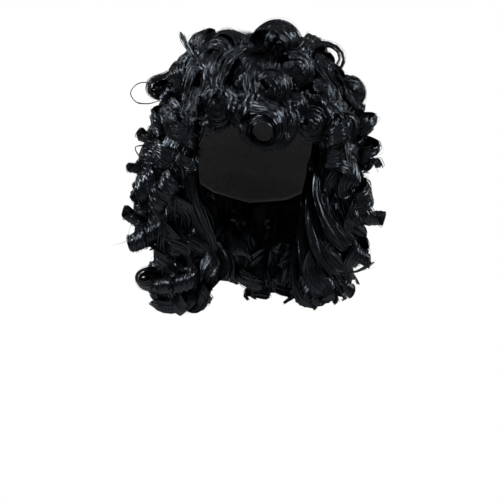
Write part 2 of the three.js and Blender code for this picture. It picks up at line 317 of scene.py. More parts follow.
def follow(locks, rng, line, out, steps, width, count=8, strands=4, flyaway=1, cup=0.22, slant=None, ends=(0.6, 0.5), ragged=0.025, loose=1.0, fine=1.0, gather=0.6, base=0.92):
    """A lock of hair along a line: a band, count flat clumps side by side over it, thin strands over them, and a stray hair.
    slant, if given, is the angle that the lock leans out of its own plane at each place along the line."""
    run = arc_length(line)
    length = run[-1]
    width = width * MM
    if base:
        x = np.linspace(0, 1 - 0.6 * ragged, steps)
        c = np.stack([np.interp(x * length, run, line[:, q]) for q in range(3)], -1)
        o = unit(np.stack([np.interp(x * length, run, out[:, q]) for q in range(3)], -1))
        side = unit(np.cross(np.gradient(c, axis=0), o))
        lean = (np.zeros(steps) if slant is None else np.interp(x, np.linspace(0, 1, len(slant)), slant))[:, None]
        flat, face = np.cos(lean) * side + np.sin(lean) * o, np.cos(lean) * o - np.sin(lean) * side
        band(locks, rng, c, flat, face, x, base * width, cup, 1.3 * MM, (ends[0], 1 - 0.95 * gather))
    for kind, k in (("clump", count), ("strand", strands), ("stray", flyaway)):
        if not k:
            continue
        if kind == "clump":
            a = (np.arange(k) + 0.5) / k * 2 - 1 + rng.uniform(-0.5, 0.5, k) / k
            half = width / k / 2 * np.exp(rng.normal(0.0, 0.45, k)) * fine
            high = half * rng.uniform(0.20, 0.55, k)
            lift = rng.uniform(-0.1, 0.45, k) * MM
            astray, begin, finish = 0.55 * MM * loose, rng.uniform(0, 0.02, k), 1 - rng.uniform(0, ragged, k)
        elif kind == "strand":
            a = rng.uniform(-1.08, 1.08, k)
            half = rng.uniform(0.28, 0.55, k) * MM
            high = half * 0.9
            lift = rng.uniform(0.3, 1.9, k) * MM
            astray, begin, finish = 1.1 * MM * loose, rng.uniform(0, 0.1, k), 0.975 - rng.uniform(0, 0.08, k)
        else:
            a = rng.uniform(-1.2, 1.2, k)
            half = rng.uniform(0.13, 0.2, k) * MM
            high = half * 0.9
            lift = rng.uniform(0.5, 3.5, k) * MM
            astray, begin, finish = 2.6 * MM * loose, rng.uniform(0, 0.3, k), 1 - rng.uniform(0, 0.15, k)
        x = begin[:, None] + (finish - begin)[:, None] * np.linspace(0, 1, steps)
        at = x * length
        c = np.stack([np.interp(at, run, line[:, q]) for q in range(3)], -1)
        o = unit(np.stack([np.interp(at, run, out[:, q]) for q in range(3)], -1))
        side = unit(np.cross(np.gradient(c, axis=1), o))
        waves = float(np.clip(length / 0.06, 0.8, 7))
        sway = (0.35 + 0.8 * x) * astray
        lean = 0.0 if slant is None else np.interp(x, np.linspace(0, 1, len(slant)), slant)
        place = (a * width / 2)[:, None] * (1 - gather * smooth((x - 0.84) / 0.16))
        c = (
            c
            + side * (place * np.cos(lean) + sway * wander(rng, k, x, waves))[..., None]
            + o * (lift[:, None] - cup * width / 2 * (a * a)[:, None] + place * np.sin(lean) + sway * wander(rng, k, x, waves))[..., None]
        )
        lean = np.asarray(lean)[..., None]
        tubes(locks, rng, c, np.cos(lean) * o - np.sin(lean) * side, half, high, ends if kind == "clump" else (0.7, 0.35))


def ringlet(locks, rng, path, normal, radius, pitch, hand, stem, width, phase=0.0, tip=1.0, grow=0.7, uneven=1.0, face=1.0, **more):
    """A lock that lies along a path for the length of its stem, then winds round it. Sizes in millimetres. With face near 0
    it keeps facing off the head, as a loose wave does."""
    radius, pitch, stem = radius * MM, pitch * MM, stem * MM
    p, length = curve_through(path, FINE)
    t, n, b = carried(p, normal)
    s = np.linspace(0, length, FINE)
    x = s / length
    waves = max(1.0, length / 0.07)
    free = smooth((s - stem) / pitch)
    p = p + uneven * 2.4 * MM * (free * wander(rng, 1, x, waves)[0])[:, None] * n + uneven * 2.4 * MM * (free * wander(rng, 1, x, waves)[0])[:, None] * b
    rate = smooth((s - stem + 0.15 * pitch) / (0.5 * pitch)) / pitch * (1 + 1.6 * face * smooth((x - 0.84) / 0.12))
    turns = np.concatenate([[0], np.cumsum((rate[1:] + rate[:-1]) / 2 * np.diff(s))])
    size = radius * smooth((s - stem) / (grow * pitch)) * (1 + (tip - 1) * smooth((x - 0.55) / 0.45)) * (1 - 0.4 * smooth((x - 0.9) / 0.1)) * (1 + uneven * 0.15 * wander(rng, 1, x, waves)[0])
    turn = phase + hand * 2 * np.pi * turns + uneven * 0.40 * free * wander(rng, 1, x, waves)[0]
    out = np.cos(turn)[:, None] * n + np.sin(turn)[:, None] * b
    steps = max(8, int(round((turns[-1] + 0.3) * STEPS_A_TURN + stem / 0.014)))
    line = p + size[:, None] * out
    follow(locks, rng, line, unit(face * out + (1 - face) * n), steps, width, **more)


def roll(locks, rng, lead, centre, axis, outer, inner, hand, turns=1.5, width=16, tilt=45, tall=1.0, advance=4.0, entry=55, **more):
    """A curl seen from its end: a lock that comes along the points of lead and winds round an axis with a shrinking radius.
    hand is +1 if it turns anticlockwise as seen from the end that the axis points to. Sizes in millimetres."""
    axis = unit(np.asarray(axis, float))
    lead = [np.asarray(q, float) for q in lead]
    to_lead = lead[-1] - centre
    to_lead = unit(to_lead - axis * (to_lead @ axis))
    turn = hand * math.radians(entry)
    e1 = math.cos(turn) * to_lead + math.sin(turn) * np.cross(axis, to_lead)
    e2 = np.cross(axis, e1) * hand
    up = np.array([0.0, 0.0, 1.0]) - axis * axis[2]
    up = unit(up)
    theta = np.linspace(0, 2 * np.pi * turns, max(6, int(turns * 14)))
    share = theta / theta[-1]
    r = (outer + (inner - outer) * share**0.9) * MM * (1 + 0.10 * wander(rng, 1, share, 1.2 * turns)[0])
    radial = np.cos(theta)[:, None] * e1 + np.sin(theta)[:, None] * e2
    ring = r[:, None] * radial
    ring = ring + up * (ring @ up)[:, None] * (tall - 1)
    ring = centre + ring + axis * ((share - 0.5) * advance * MM)[:, None]
    points = np.vstack([lead, ring])
    middle = np.array([0.0, 0.01, -0.09])
    outs = np.vstack([unit(np.array(lead) - middle), radial])
    line, length = curve_through(points, FINE)
    chord = arc_length(points)
    at = np.linspace(0, chord[-1], FINE)
    out = unit(np.stack([np.interp(at, chord, outs[:, q]) for q in range(3)], 1))
    begin = chord[len(lead) - 1] / chord[-1]
    slant = hand * math.radians(tilt) * smooth((np.linspace(0, 1, 40) - begin * 0.75) / (0.25 * begin + 0.1))
    steps = max(12, int(round(turns * STEPS_A_TURN * 1.15 + chord[len(lead) - 1] / 0.010)))
    follow(locks, rng, line, out, steps, width, slant=slant, **more)


def dome(locks, rng, lead, centre, axis, radius, hand, tall=1.0, depth=0.8, hollow=12, arcs=7, width=2.4, sink=0.12, **more):
    """A full curl seen from its end: locks that wind round an axis, one inside the other, over a rounded form. The widest
    comes along the points of lead. hollow is the angle off the axis of the innermost,
    and sink how far the core lies in, as a share of the radius. Sizes in millimetres and degrees."""
    axis = unit(np.asarray(axis, float))
    up = unit(np.array([0.0, 0.0, 1.0]) - axis * axis[2])
    right = np.cross(up, axis)
    lead = [np.asarray(q, float) for q in lead]
    back = lead[-1] - centre
    begin = math.degrees(math.atan2(back @ up, back @ right))
    middle = np.array([0.0, 0.01, -0.09])
    size = radius * MM
    for i in range(arcs):
        wide = math.radians(88 + (hollow - 88) * i / (arcs - 1))
        sweep = rng.uniform(230, 330)
        share = np.linspace(0, 1, 18)
        turn = np.radians(begin + hand * (rng.uniform(-10, 60) + sweep * share))
        bend = np.clip(wide * (1 - 0.22 * share) + math.radians(5) * wander(rng, 1, share, 1.2)[0], math.radians(6), math.radians(92))
        radial = np.cos(turn)[:, None] * right + np.sin(turn)[:, None] * up * tall
        sunk = sink * size * smooth((math.radians(hollow + 16) - bend) / math.radians(18))
        height = depth * size * (np.cos(bend) - 0.5) - sunk
        line = centre + radial * (size * np.sin(bend))[:, None] + axis * height[:, None]
        out = unit(radial * (np.sin(bend) * depth)[:, None] + axis * np.cos(bend)[:, None])
        if i == 0:
            out = np.vstack([unit(np.array(lead) - middle), out])
            line = np.vstack([lead, line])
        chord = arc_length(line)
        line, length = curve_through(line, FINE)
        at = np.linspace(0, chord[-1], FINE)
        out = unit(np.stack([np.interp(at, chord, out[:, q]) for q in range(3)], 1))
        step = radius * math.radians(88 - hollow) / (arcs - 1)
        follow(locks, rng, line, out, max(10, int(length / 0.0055)), width * step * rng.uniform(0.85, 1.2), count=6, strands=4, cup=0.05, ends=(0.5, 0.4), **more)


# ---------------------------------------------------------------- the rows of curls
# name, curls, first and last azimuth, as the rows are sewn round the head
ROWS = [
    ("crown_curl", 8, -22.5, 337.5),
    ("fringe_curl", 5, -51.0, 51.0),
    ("upper_curl", 12, 52.0, 308.0),
    ("middle_curl", 12, 42.0, 318.0),
    ("lower_curl", 12, 42.0, 318.0),
]
DRAWN_CURLS = 4  # the last lower curls turn towards the face as they go down
DRAWN_IN = np.array([(163, 0), (179, 4), (197, 12), (217, 20), (229, 24), (244, 26), (275, 25)], float)

# Curls of the crown: place across the sector, place down the head, height of the axis, turn of the axis from straight
# down, length of the wound part, radius, width of the lock
CROWN = [
    dict(u=-0.10, down=12, height=16, turn=60, length=46, radius=15, width=25),
    dict(u=-0.50, down=24, height=26, turn=35, length=50, radius=17, width=26),
    dict(u=0.50, down=26, height=25, turn=-40, length=50, radius=17, width=26),
    dict(u=0.05, down=37, height=28, turn=12, length=50, radius=16, width=25),
    dict(u=-0.66, down=45, height=29, turn=-8, length=48, radius=15, width=23),
    dict(u=0.62, down=46, height=30, turn=8, length=48, radius=15, width=23),
    dict(u=0.0, down=54, height=33, turn=0, length=44, radius=15, width=22),
]
FRINGE = [
    dict(u=-0.55, line=[(34, 4), (45, 5), (55, 7), (65, 7), (74, 6)], radius=6, pitch=34, width=17),
    dict(u=0.50, line=[(36, 4), (47, 5), (57, 7), (67, 7), (76, 6)], radius=6, pitch=34, width=17),
    dict(u=0.0, line=[(30, 4), (40, 6), (50, 8), (60, 8), (70, 7)], radius=6, pitch=36, width=18),
]
# Ringlets that hang: place across the sector, (down, height) along the axis, radius, pitch, width
UPPER = [
    dict(u=-0.55, line=[(34, 4), (46, 12), (58, 24), (74, 31), (90, 36), (106, 40)], radius=14, pitch=36, width=22),
    dict(u=0.50, line=[(36, 4), (48, 14), (60, 28), (76, 37), (92, 43), (108, 47)], radius=15, pitch=36, width=22),
    dict(u=-0.05, line=[(26, 4), (38, 17), (50, 31), (64, 38), (82, 43), (102, 46)], radius=15, pitch=38, width=23),
    dict(u=0.15, line=[(56, 4), (68, 10), (80, 17), (94, 26), (110, 36)], radius=13, pitch=34, width=20),
    dict(u=-0.85, line=[(40, 5), (52, 20), (64, 34), (80, 42), (98, 47), (112, 50)], radius=14, pitch=36, width=22),
]
MIDDLE = [
    dict(u=-0.62, line=[(80, 4), (96, 12), (110, 28), (126, 42), (150, 50), (180, 55), (206, 58)], radius=15, pitch=38, width=23),
    dict(u=-0.08, line=[(84, 4), (100, 16), (114, 34), (130, 48), (154, 56), (182, 61), (210, 63)], radius=15, pitch=39, width=23),
    dict(u=0.52, line=[(80, 4), (96, 12), (108, 28), (124, 42), (148, 50), (176, 56), (200, 60)], radius=15, pitch=37, width=23),
    dict(u=0.15, line=[(94, 4), (112, 9), (126, 20), (142, 34), (172, 44), (200, 48)], radius=13, pitch=36, width=22),
]
LOWER = [
    dict(u=-0.55, line=[(112, 4), (130, 9), (155, 15), (185, 16), (215, 20), (240, 27), (264, 26)], radius=14, pitch=42, width=24),
    dict(u=0.50, line=[(114, 4), (132, 10), (158, 16), (188, 17), (218, 22), (246, 30), (270, 30)], radius=14, pitch=43, width=24),
    dict(u=0.0, line=[(118, 5), (138, 14), (165, 19), (195, 22), (222, 34), (246, 40), (262, 42)], radius=14, pitch=40, width=23),
]

# how much shorter or longer a ringlet may be, as a share of its length
REACH = {"upper_curl": (-0.12, 0.42), "middle_curl": (-0.15, 0.30), "lower_curl": (-0.14, 0.03)}
SHORTER = {"lower_curl_03": (-0.2, -0.05), "lower_curl_08": (-0.22, -0.08), "middle_curl_10": (-0.22, 0.0), "middle_curl_11": (-0.34, -0.12), "lower_curl_04": (-0.22, -0.08), "lower_curl_06": (-0.2, -0.06), "lower_curl_07": (-0.2, -0.06), "lower_curl_09": (-0.2, -0.05)}

# Curls placed one by one. A place is (across, down, depth): two pixels of a 500 by 500 picture and the depth in
# millimetres. A roll is a curl seen from its end, a hang is a ringlet with its axis through the places, and a lock is
# smooth hair along them.
ROLLS = [
    dict(node="fringe_curl_03", lead=[(252, 82, -78), (248, 102, -96)], centre=(263, 130, -102), axis=(-0.22, -0.9, -0.36), outer=24, inner=12, hand=-1, turns=1.9, width=21, tilt=20, strands=6, loose=1.9),
    dict(node="fringe_curl_01", lead=[(208, 98, -78), (210, 112, -88)], centre=(203, 125, -90), axis=(-0.5, -0.75, -0.4), outer=10, inner=4, hand=1, turns=1.8, width=19, tilt=14, tall=1.2, advance=-5, loose=1.6),
    dict(node="fringe_curl_05", lead=[(322, 116, -62), (319, 128, -71)], centre=(327, 139, -75), axis=(0.5, -0.75, -0.4), outer=10, inner=4, hand=-1, turns=1.8, width=18, tilt=14, tall=1.2, advance=-5, loose=1.6),
    dict(node="crown_curl_03", lead=[(304, 70, -12), (302, 58, -16)], centre=(325, 58, -20), axis=(0.15, -0.98, -0.05), outer=23.5, inner=17, hand=-1, turns=1.5, width=20, tilt=14, tall=0.85, loose=1.6),
    dict(node="lower_curl_11", lead=[(184, 276, -36), (166, 269, -42)], centre=(147, 279, -46), axis=(-0.35, -0.9, 0.15), outer=18, inner=3, hand=1, turns=2.4, width=19, tilt=24, tall=0.65, entry=40, loose=1.4),
    dict(node="upper_curl_11", lead=[(176, 62, -17), (168, 72, -22)], centre=(158, 89, -26), axis=(-0.45, -0.85, -0.25), outer=11.5, inner=3, hand=1, turns=2.3, width=20, tilt=22, advance=-4, loose=1.5),
]
DOMES = [
    dict(node="fringe_curl_02", lead=[(242, 46, -50), (224, 49, -68), (212, 60, -84), (208, 78, -92)], centre=(219, 106, -92), axis=(-0.15, -0.97, -0.10), radius=18, tall=1.4, hand=1),
    dict(node="fringe_curl_05", lead=[(304, 92, -70), (300, 106, -80)], centre=(311, 123, -82), axis=(0.08, -0.98, -0.08), radius=18.5, hand=-1),
    dict(node="crown_curl_01", lead=[(276, 46, -36), (280, 56, -56)], centre=(295, 69, -66), axis=(0.12, -0.96, 0.05), radius=20.5, hand=-1),
    dict(node="fringe_curl_03", lead=[(258, 60, -62), (256, 74, -82)], centre=(271, 88, -90), axis=(0.0, -1.0, 0.0), radius=20.5, hand=-1),
    dict(node="crown_curl_02", lead=[(306, 72, -48), (308, 84, -62)], centre=(321, 97, -70), axis=(0.22, -0.95, 0.0), radius=19, hand=-1),
    dict(node="fringe_curl_02", lead=[(252, 88, -80), (252, 100, -90)], centre=(243, 114, -94), axis=(0.05, -0.98, -0.15), radius=12.5, tall=1.3, hand=1, arcs=5),
    dict(node="fringe_curl_04", lead=[(288, 86, -78), (286, 98, -88)], centre=(294, 108, -90), axis=(0.05, -0.98, -0.15), radius=14, hand=-1, arcs=5),
    dict(node="crown_curl_01", lead=[(252, 62, -14), (254, 50, -20)], centre=(277, 43, -24), axis=(0.05, -0.97, 0.10), radius=26, hand=-1, arcs=8, hollow=6, depth=0.95, sink=0.0),
    dict(node="upper_curl_02", lead=[(334, 66, -17), (340, 78, -22)], centre=(351, 92, -22), axis=(0.30, -0.95, 0.0), radius=16.5, hand=-1, arcs=5),
    dict(node="upper_curl_01", lead=[(338, 96, -66), (332, 110, -76)], centre=(344, 127, -80), axis=(0.35, -0.93, -0.05), radius=16, hand=-1, arcs=5),
    dict(node="upper_curl_12", lead=[(196, 92, -84), (190, 106, -92)], centre=(179, 124, -92), axis=(-0.35, -0.93, -0.05), radius=16.5, hand=1, arcs=5),
]
HANGS = [
    # swept over the left of the crown
    dict(node="crown_curl_07", places=[(256, 46, 14), (240, 36, 10), (219, 32, 4), (200, 35, 0), (187, 49, -4), (179, 68, -8), (175, 86, -10)], radius=5, pitch=48, hand=-1, width=26, face=0.3),
    dict(node="crown_curl_08", places=[(262, 46, 2), (242, 43, -16), (217, 45, -34), (194, 56, -48), (178, 74, -54), (168, 92, -52)], radius=5, pitch=46, hand=-1, width=24, face=0.3),
    dict(node="crown_curl_08", places=[(254, 46, -16), (236, 46, -44), (219, 54, -64), (209, 68, -78), (207, 84, -86), (213, 96, -88)], radius=4, pitch=44, hand=-1, width=24, face=0.3),
    dict(node="crown_curl_01", places=[(268, 46, -34), (255, 52, -52), (246, 64, -68), (243, 80, -80), (246, 94, -86)], radius=4, pitch=44, hand=-1, width=22, face=0.2),
    dict(node="crown_curl_01", places=[(276, 52, -44), (268, 58, -60), (262, 68, -74), (258, 80, -84)], radius=4, pitch=40, hand=-1, width=20, face=0.2),
    # the left side: loose waves next to the face
    dict(node="upper_curl_12", places=[(204, 84, -78), (196, 98, -84), (190, 116, -86), (187, 136, -84), (188, 156, -80), (192, 170, -76)], radius=9, pitch=36, hand=-1, width=18),
    dict(node="middle_curl_12", places=[(196, 130, -66), (186, 152, -66), (183, 176, -64), (190, 202, -60), (201, 226, -58), (209, 246, -58)], radius=5, pitch=52, hand=-1, width=24, face=0.25),
    dict(node="middle_curl_12", places=[(186, 132, -70), (175, 156, -72), (171, 182, -70), (176, 208, -68), (186, 232, -66), (194, 252, -64)], radius=6, pitch=50, hand=-1, width=25, face=0.28),
    dict(node="middle_curl_12", places=[(176, 132, -66), (164, 156, -70), (158, 182, -70), (161, 208, -68), (169, 232, -66), (177, 250, -64)], radius=7, pitch=46, hand=-1, width=24, face=0.35),
    dict(node="lower_curl_12", places=[(190, 170, -58), (193, 196, -56), (201, 220, -56), (210, 242, -58), (214, 262, -60), (210, 282, -60), (196, 297, -58), (178, 306, -54)], radius=5, pitch=54, hand=-1, width=24, face=0.25, strands=7),
    dict(node="lower_curl_12", places=[(178, 176, -60), (179, 204, -62), (186, 230, -62), (196, 254, -64), (197, 277, -62), (188, 293, -60), (172, 303, -54)], radius=6, pitch=50, hand=-1, width=25, face=0.28, strands=7),
    dict(node="lower_curl_12", places=[(166, 182, -56), (164, 208, -60), (170, 234, -62), (179, 258, -64), (179, 279, -62), (170, 293, -58), (156, 299, -52)], radius=7, pitch=46, hand=-1, width=24, face=0.32),
    dict(node="lower_curl_12", places=[(155, 190, -48), (152, 216, -52), (157, 242, -54), (163, 264, -54), (162, 288, -52), (156, 302, -48)], radius=8, pitch=44, hand=-1, width=23, face=0.4),
    dict(node="lower_curl_12", places=[(206, 246, -66), (212, 264, -70), (211, 280, -70), (203, 296, -64), (196, 306, -58)], radius=9, pitch=33, hand=-1, width=16),
    dict(node="lower_curl_12", places=[(188, 250, -68), (192, 268, -72), (190, 284, -70), (182, 298, -62), (176, 308, -54)], radius=9, pitch=33, hand=-1, width=16),
    dict(node="lower_curl_12", places=[(214, 256, -68), (205, 270, -76), (192, 280, -78), (176, 286, -74), (162, 288, -66)], radius=9, pitch=27, hand=-1, width=18, count=7, strands=5),
    dict(node="middle_curl_12", places=[(194, 146, -62), (183, 160, -70), (172, 177, -74), (164, 194, -72), (158, 210, -64)], radius=10, pitch=27, hand=-1, width=19, count=8, strands=6),
    # the left outline: ringlets that end pointing outward
    dict(node="upper_curl_11", places=[(174, 74, -30), (165, 92, -36), (160, 114, -38), (157, 134, -36), (158, 156, -34)], radius=12, pitch=28, hand=-1, width=12, count=6, gather=0.85, ragged=0.012),
    dict(node="upper_curl_10", places=[(178, 152, -30), (164, 149, -36), (150, 141, -38), (138, 132, -38)], radius=6, pitch=26, hand=-1, width=13, count=5, gather=0.85, ragged=0.012),
    dict(node="middle_curl_11", places=[(174, 172, -34), (159, 172, -40), (144, 168, -42), (129, 165, -42)], radius=6, pitch=24, hand=-1, width=15, count=6, gather=0.85, ragged=0.012),
    dict(node="middle_curl_11", places=[(170, 234, -28), (153, 230, -34), (138, 221, -36), (123, 211, -36)], radius=7, pitch=28, hand=-1, width=14, count=6, gather=0.85, ragged=0.012),
    dict(node="middle_curl_11", places=[(184, 158, -36), (170, 167, -46), (157, 178, -52), (147, 188, -54), (138, 197, -54)], radius=13, pitch=27, hand=-1, width=24, count=9, strands=6, gather=0.5, ragged=0.012),
    dict(node="lower_curl_11", places=[(178, 218, -40), (166, 226, -48), (153, 234, -52), (143, 240, -54), (133, 244, -54)], radius=12, pitch=24, hand=-1, width=18, count=8, strands=6, gather=0.6, ragged=0.012),
    # the right side: loose waves that fan out below
    dict(node="upper_curl_01", places=[(322, 92, -72), (330, 106, -80), (336, 124, -82), (336, 146, -78), (332, 166, -72)], radius=10, pitch=27, hand=1, width=17),
    dict(node="upper_curl_02", places=[(344, 86, -34), (356, 102, -38), (364, 122, -40), (368, 142, -38), (366, 166, -34)], radius=13, pitch=27, hand=1, width=9, count=5, gather=0.85, ragged=0.012),
    dict(node="upper_curl_02", places=[(346, 90, -26), (358, 106, -30), (364, 126, -32), (366, 146, -32), (362, 168, -30)], radius=9, pitch=26, hand=1, width=15, count=6),
    dict(node="middle_curl_01", places=[(331, 140, -66), (331, 162, -66), (327, 186, -62), (319, 210, -58), (313, 230, -56)], radius=4, pitch=60, hand=1, width=25, face=0.2),
    dict(node="middle_curl_01", places=[(339, 142, -68), (341, 166, -70), (339, 190, -68), (333, 214, -64), (330, 236, -60)], radius=5, pitch=58, hand=1, width=26, face=0.22),
    dict(node="middle_curl_01", places=[(349, 140, -62), (353, 162, -66), (354, 186, -66), (352, 210, -62), (354, 232, -56)], radius=6, pitch=52, hand=1, width=25, face=0.3),
    dict(node="lower_curl_01", places=[(329, 168, -56), (321, 192, -54), (313, 218, -54), (305, 244, -54), (304, 270, -54), (308, 294, -52), (317, 308, -48)], radius=4, pitch=64, hand=1, width=25, face=0.2),
    dict(node="lower_curl_01", places=[(337, 172, -58), (331, 196, -60), (324, 222, -60), (318, 248, -60), (317, 274, -58), (323, 298, -52)], radius=5, pitch=60, hand=1, width=26, face=0.22),
    dict(node="lower_curl_01", places=[(344, 176, -56), (342, 200, -60), (337, 226, -60), (333, 250, -58), (334, 274, -54), (340, 294, -48)], radius=5, pitch=56, hand=1, width=26, face=0.25),
    dict(node="lower_curl_01", places=[(353, 182, -50), (352, 206, -54), (350, 230, -54), (351, 252, -50), (355, 272, -44), (356, 286, -40)], radius=6, pitch=52, hand=1, width=25, face=0.3),
    dict(node="lower_curl_01", places=[(308, 256, -60), (307, 274, -62), (309, 290, -58), (314, 304, -50)], radius=8, pitch=34, hand=1, width=16),
    dict(node="lower_curl_01", places=[(327, 262, -58), (327, 278, -58), (328, 292, -52), (330, 302, -46)], radius=9, pitch=33, hand=1, width=16),
    # the right outline
    dict(node="middle_curl_02", places=[(344, 160, -30), (357, 163, -34), (370, 164, -36), (381, 163, -36)], radius=5, pitch=22, hand=1, width=9, count=5, gather=0.85, ragged=0.012),
    dict(node="middle_curl_02", places=[(344, 156, -36), (352, 170, -44), (358, 185, -48), (361, 198, -48), (358, 212, -44)], radius=14, pitch=31, hand=1, width=24, count=9, strands=6),
    dict(node="middle_curl_02", places=[(334, 211, -38), (349, 213, -44), (365, 215, -46), (382, 215, -46)], radius=9, pitch=26, hand=1, width=18, count=7, gather=0.5, ragged=0.012),
    dict(node="lower_curl_02", places=[(346, 202, -36), (356, 218, -44), (362, 234, -46), (360, 250, -44), (352, 264, -40)], radius=9, pitch=40, hand=1, width=24, face=0.5),
    dict(node="lower_curl_02", places=[(336, 235, -38), (349, 246, -44), (361, 255, -46), (370, 263, -46)], radius=8, pitch=28, hand=1, width=15, count=6, gather=0.85, ragged=0.012),
    dict(node="lower_curl_02", places=[(326, 272, -40), (336, 280, -46), (345, 286, -46), (351, 292, -44)], radius=7, pitch=24, hand=1, width=12, count=5, gather=0.85, ragged=0.012),
]
SEAM = {"upper_curl_06": UPPER[2], "middle_curl_06": MIDDLE[1], "lower_curl_06": LOWER[2]}  # over the middle of the back
LOOSE = {"upper_curl_01": 0.55, "upper_curl_02": 0.7, "upper_curl_11": 0.7, "upper_curl_12": 0.55}  # less wound than the others
BY_HAND = ("middle_curl_01", "middle_curl_12", "lower_curl_01", "lower_curl_12")
SMOOTH = [
    dict(node="fringe_curl_03", places=[(238, 118, -92), (243, 134, -98), (256, 146, -103), (272, 148, -104), (286, 138, -100), (292, 126, -95)], width=7, count=3, strands=8, ends=(0.5, 0.4), gather=0.8, base=0, fine=0.6),
    dict(node="fringe_curl_03", places=[(284, 98, -92), (293, 110, -96), (296, 122, -97), (291, 134, -99), (281, 143, -101), (269, 147, -102)], width=10, count=3, strands=9, ends=(0.5, 0.4), gather=0.8, base=0, fine=0.6),
    dict(node="middle_curl_12", places=[(196, 146, -72), (190, 168, -76), (190, 192, -76), (198, 216, -74), (208, 238, -72), (216, 254, -70)], width=17, count=9, strands=8, ends=(0.5, 0.4), gather=0.8),
    dict(node="middle_curl_01", places=[(324, 168, -66), (323, 194, -71), (330, 219, -72), (344, 238, -66), (359, 247, -56)], width=23, count=11, strands=9, ends=(0.5, 0.4), gather=0.8),
    dict(node="lower_curl_01", places=[(317, 186, -62), (314, 213, -69), (320, 241, -71), (333, 262, -66), (349, 272, -54)], width=22, count=11, strands=9, ends=(0.5, 0.4), gather=0.8),
    dict(node="lower_curl_01", places=[(311, 204, -60), (306, 234, -66), (309, 262, -68), (319, 284, -63), (333, 295, -52)], width=21, count=10, strands=9, ends=(0.5, 0.4), gather=0.8),
    dict(node="lower_curl_01", places=[(306, 218, -58), (299, 248, -63), (298, 275, -63), (304, 297, -58), (315, 308, -49)], width=18, count=9, strands=8, ends=(0.5, 0.4), gather=0.8),
    dict(node="crown_curl_08", places=[(198, 64, -46), (189, 50, -38), (184, 40, -32), (180, 32, -30)], width=6, count=4, ends=(0.8, 0.3)),
    dict(node="lower_curl_12", places=[(200, 292, -62), (186, 303, -62), (168, 308, -58), (150, 303, -52)], width=14, count=7, strands=6, ends=(0.6, 0.5), gather=0.6),
    dict(node="lower_curl_10", places=[(196, 284, -20), (186, 302, -26), (170, 308, -28), (153, 303, -28)], width=11, count=6, ends=(0.8, 0.4)),
    dict(node="lower_curl_03", places=[(332, 274, -20), (355, 272, -24), (375, 262, -26)], width=8, count=5, ends=(0.8, 0.15)),
]
HAIRS = [
    dict(node="upper_curl_11", places=[(160, 88, -20), (150, 83, -22), (138, 84, -24), (131, 93, -24), (137, 102, -22), (148, 104, -20), (160, 101, -18)], half=0.95),
    dict(node="middle_curl_11", places=[(135, 214, -20), (130, 228, -22), (126, 241, -22), (113, 245, -22)], half=0.22),
    dict(node="upper_curl_10", places=[(160, 152, -38), (147, 146, -42), (136, 147, -44), (139, 155, -44), (149, 162, -42), (160, 166, -38)], half=1.0),
    dict(node="crown_curl_08", places=[(236, 46, -66), (222, 52, -76), (213, 64, -86), (211, 78, -93), (214, 92, -96)], half=0.3),
    dict(node="crown_curl_08", places=[(238, 48, -66), (226, 54, -77), (217, 66, -87), (213, 80, -95), (217, 92, -98)], half=0.26),
    dict(node="crown_curl_08", places=[(234, 50, -68), (234, 60, -78), (228, 72, -88), (219, 84, -96), (214, 94, -98)], half=0.3),
    dict(node="crown_curl_08", places=[(230, 48, -68), (231, 60, -80), (224, 72, -90), (216, 82, -96), (209, 90, -97)], half=0.26),
]
